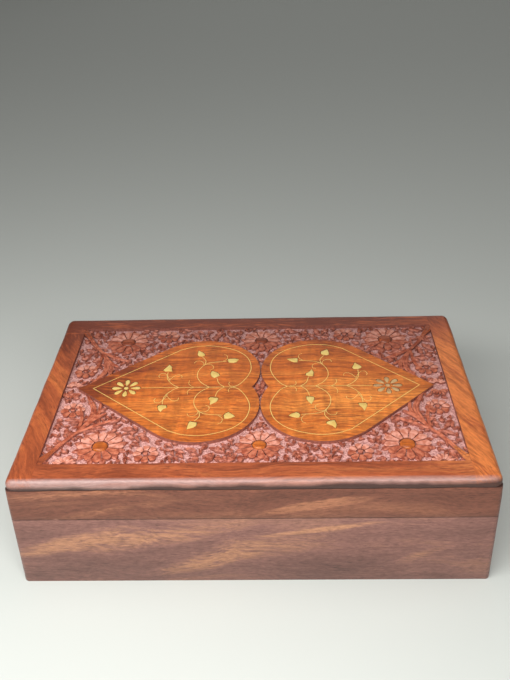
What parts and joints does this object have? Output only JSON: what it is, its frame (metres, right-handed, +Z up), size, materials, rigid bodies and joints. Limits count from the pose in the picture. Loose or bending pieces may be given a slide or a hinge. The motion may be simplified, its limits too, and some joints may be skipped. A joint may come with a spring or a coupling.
{
  "type": "jewelry box",
  "caption": "Shallow rectangular wooden jewelry box with a lift-off lid, its top carved in low relief around facing hearts inlaid with brass vines and flowers.",
  "frame": {"origin": "middle of the underside, on the surface the box stands on", "axes": "+X to the right along the long side, +Y from the front to the back, +Z up"},
  "size_m": [0.305, 0.2, 0.085],
  "materials": {
    "wall_wood": "satin lacquered rosewood",
    "inner_wood": "plain sanded rosewood",
    "lid_wood": "carved and lacquered rosewood",
    "brass": "polished flush inlay, slightly tarnished"
  },
  "bodies": {
    "root": {"base_back_wall": "wall_wood", "base_front_wall": "wall_wood", "base_left_wall": "wall_wood", "base_right_wall": "wall_wood", "bottom_panel": "inner_wood", "left_border_wire": "brass", "left_flower_centre": "brass", "left_leaf_1": "brass", "left_leaf_2": "brass", "left_leaf_3": "brass", "left_leaf_4": "brass", "left_leaf_5": "brass", "left_leaf_6": "brass", "left_leaf_7": "brass", "left_leaf_8": "brass", "left_petal_1": "brass", "left_petal_2": "brass", "left_petal_3": "brass", "left_petal_4": "brass", "left_petal_5": "brass", "left_petal_6": "brass", "left_petal_7": "brass", "left_petal_8": "brass", "left_vine_wire": "brass", "lid_back_wall": "wall_wood", "lid_front_wall": "wall_wood", "lid_left_wall": "wall_wood", "lid_right_wall": "wall_wood", "lid_top_board": "lid_wood", "right_border_wire": "brass", "right_flower_centre": "brass", "right_leaf_1": "brass", "right_leaf_2": "brass", "right_leaf_3": "brass", "right_leaf_4": "brass", "right_leaf_5": "brass", "right_leaf_6": "brass", "right_leaf_7": "brass", "right_leaf_8": "brass", "right_petal_1": "brass", "right_petal_2": "brass", "right_petal_3": "brass", "right_petal_4": "brass", "right_petal_5": "brass", "right_petal_6": "brass", "right_petal_7": "brass", "right_petal_8": "brass", "right_vine_wire": "brass"}
  },
  "joints": []
}
